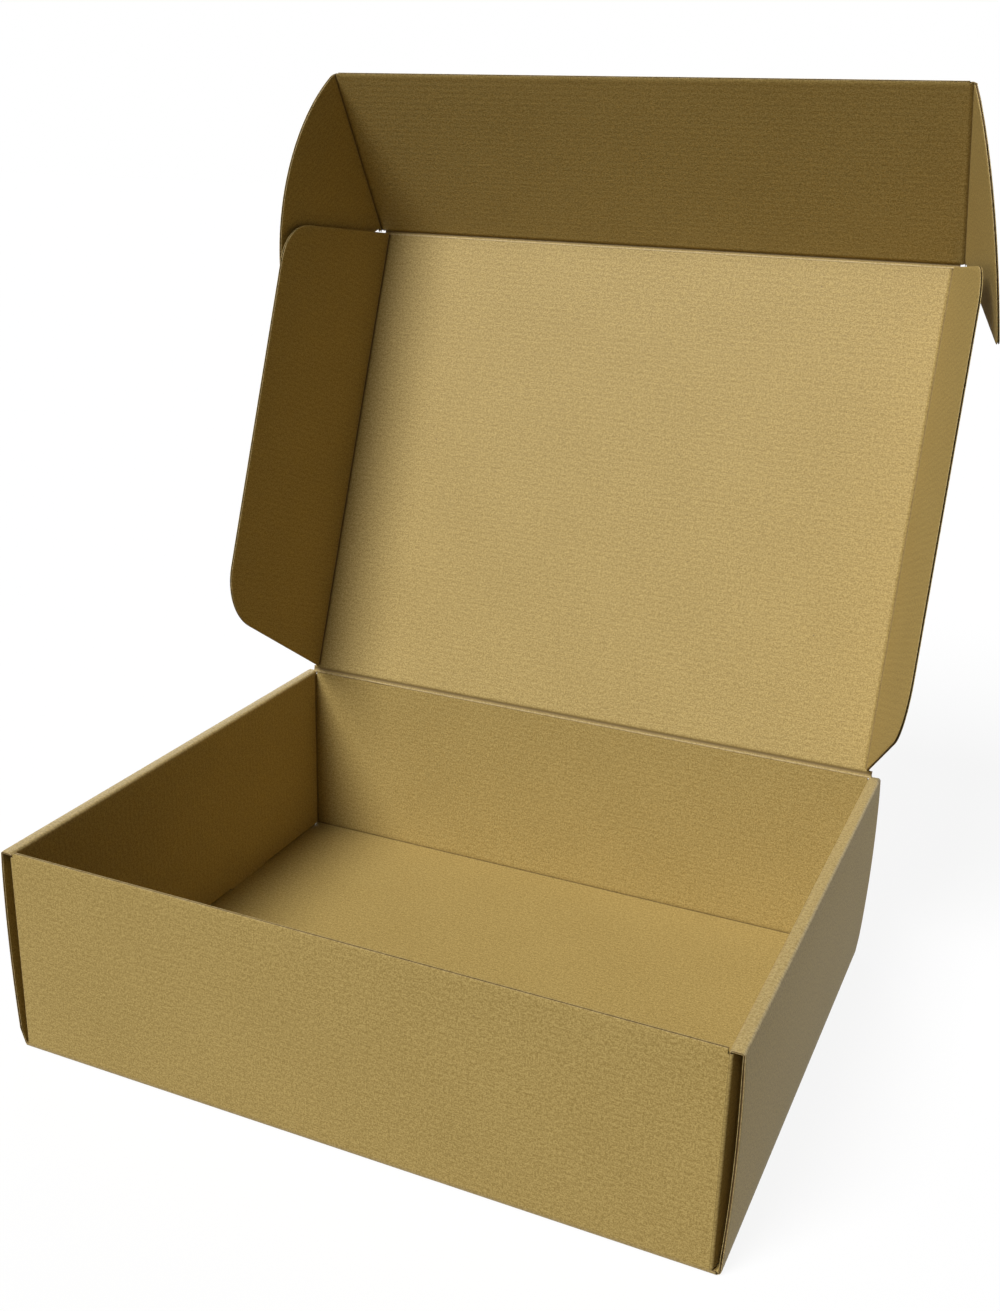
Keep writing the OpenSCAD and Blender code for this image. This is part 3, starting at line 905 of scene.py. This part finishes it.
class MAILER_OT_end_walls(bpy.types.Operator):
    """Builds the front and back walls with their corner flaps"""
    bl_idname = "mailer.end_walls"
    bl_label = "End walls"

    def execute(self, context):
        m = measures()
        for name, way, top in (("front", -1, m.size.height), ("back", 1, m.hinge[2] - m.reach)):
            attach(build_piece(f"tray_{name}_wall", [end_wall(m, way, top)], m), "tray")
            flaps = [corner_flap(m, side, way) for side in (-1, 1)]
            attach(build_piece(f"tray_{name}_corner_flaps", flaps, m), "tray")
        return {"FINISHED"}


class MAILER_OT_side_walls(bpy.types.Operator):
    """Builds the rolled side walls with their locking tabs"""
    bl_idname = "mailer.side_walls"
    bl_label = "Side walls"

    def execute(self, context):
        m = measures()
        for name, side in (("left", -1), ("right", 1)):
            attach(build_piece(f"tray_{name}_wall", side_wall(m, side), m), "tray")
        return {"FINISHED"}


class MAILER_OT_lid(bpy.types.Operator):
    """Builds the lid panel"""
    bl_idname = "mailer.lid"
    bl_label = "Lid"

    def execute(self, context):
        m = measures()
        piece = build_piece("lid_panel", [lid_board(m)], m)
        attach(piece, "lid")
        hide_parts("lid")
        return {"FINISHED"}


class MAILER_OT_dust_flaps(bpy.types.Operator):
    """Builds the lid's two dust flaps"""
    bl_idname = "mailer.dust_flaps"
    bl_label = "Dust flaps"

    def execute(self, context):
        m = measures()
        for name, side, fold in (("left", -1, m.fold.left_dust), ("right", 1, m.fold.right_dust)):
            piece = build_piece(f"{name}_dust_panel", [dust_flap_board(m, side, fold)], m)
            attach(piece, f"{name}_dust_flap")
            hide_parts(f"{name}_dust_flap")
        return {"FINISHED"}


class MAILER_OT_front_flap(bpy.types.Operator):
    """Builds the front flap"""
    bl_idname = "mailer.front_flap"
    bl_label = "Front flap"

    def execute(self, context):
        m = measures()
        piece = build_piece("front_panel", [front_flap_board(m)], m)
        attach(piece, "front_flap")
        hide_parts("front_flap")
        return {"FINISHED"}


class MAILER_OT_lock_ears(bpy.types.Operator):
    """Builds the two lock ears of the front flap"""
    bl_idname = "mailer.lock_ears"
    bl_label = "Lock ears"

    def execute(self, context):
        m = measures()
        for name, side, fold in (("left", -1, m.fold.left_ear), ("right", 1, m.fold.right_ear)):
            piece = build_piece(f"{name}_ear_panel", [ear_board(m, side, fold)], m)
            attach(piece, f"{name}_ear")
            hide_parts(f"{name}_ear")
        return {"FINISHED"}


class MAILER_OT_creases(bpy.types.Operator):
    """Builds the crushed strips over the six working folds, each bending between its two bodies"""
    bl_idname = "mailer.creases"
    bl_label = "Working folds"

    def execute(self, context):
        m = measures()
        for f in working_folds(m):
            piece = build_piece(f.name, [crease_board(m, f)], m)
            start, end = blend_span(m, f)
            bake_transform(piece)
        return {"FINISHED"}


class MAILER_OT_studio(bpy.types.Operator):
    """Sets up the floor, the sky, the three lamps and the camera"""
    bl_idname = "mailer.studio"
    bl_label = "Studio"

    def execute(self, context):
        scene = context.scene
        look = scene.studio_look
        corners = FLOOR_HALF * np.array([[-1, -1, 0], [1, -1, 0], [1, 1, 0], [-1, 1, 0]])
        mesh = bpy.data.meshes.new("studio_floor")
        mesh.from_pydata((corners - FLOOR_DROP * Z).tolist(), [], [(0, 1, 2, 3)])
        mesh.materials.append(floor_finish())
        floor = bpy.data.objects.new("studio_floor", mesh)
        scene.collection.objects.link(floor)
        scene.world = studio_world()
        for name, kind, turn in (("key", "key", -look.key_turn), ("right_fill", "fill", look.fill_turn),
                                 ("left_fill", "fill", -look.fill_turn)):
            lamp = bpy.data.lights.new(f"{name}_lamp", "SUN")
            lamp.color, lamp.energy = getattr(look, kind), getattr(look, f"{kind}_level")
            lamp.angle = getattr(look, f"{kind}_soft")
            stand = bpy.data.objects.new(f"{name}_lamp", lamp)
            stand.rotation_euler = (getattr(look, f"{kind}_tilt"), 0, turn)
            scene.collection.objects.link(stand)
        lens = bpy.data.cameras.new("camera")
        lens.lens, lens.sensor_width = CAMERA_LENS, CAMERA_SENSOR
        camera = bpy.data.objects.new("camera", lens)
        camera.location = CAMERA_PLACE
        camera.rotation_euler = [math.radians(turn) for turn in CAMERA_TURN]
        scene.collection.objects.link(camera)
        scene.camera = camera
        scene.view_settings.view_transform = "Standard"
        return {"FINISHED"}


STEPS = (MAILER_OT_floor, MAILER_OT_end_walls, MAILER_OT_side_walls, MAILER_OT_lid, MAILER_OT_dust_flaps,
         MAILER_OT_front_flap, MAILER_OT_lock_ears, MAILER_OT_creases, MAILER_OT_studio)
GROUPS = {"mailer_sizes": MailerSizes, "mailer_folds": MailerFolds, "board_make": BoardMake,
          "kraft_colours": KraftColours, "studio_look": StudioLook}


class MAILER_PT_panel(bpy.types.Panel):
    """Lists the box's sizes and colours, and the steps that build it"""
    bl_label = "Mailer box"
    bl_space_type = "VIEW_3D"
    bl_region_type = "UI"
    bl_category = "Mailer box"

    def draw(self, context):
        for name, group in GROUPS.items():
            column = self.layout.column(heading=group.__doc__)
            for prop in group.__annotations__:
                column.prop(getattr(context.scene, name), prop)
        for step in STEPS:
            self.layout.operator(step.bl_idname)


def register():
    for group in (*GROUPS.values(), *STEPS, MAILER_PT_panel):
        bpy.utils.register_class(group)
    for name, group in GROUPS.items():
        setattr(bpy.types.Scene, name, bpy.props.PointerProperty(type=group))


def unregister():
    for name in GROUPS:
        delattr(bpy.types.Scene, name)
    for group in reversed((*GROUPS.values(), *STEPS, MAILER_PT_panel)):
        bpy.utils.unregister_class(group)


def main():
    """Registers the classes, runs the steps in order and writes the CAD box and the finished box."""
    register()
    for step in STEPS:
        getattr(bpy.ops.mailer, step.bl_idname.split(".")[1])()


if __name__ == "__main__":
    main()
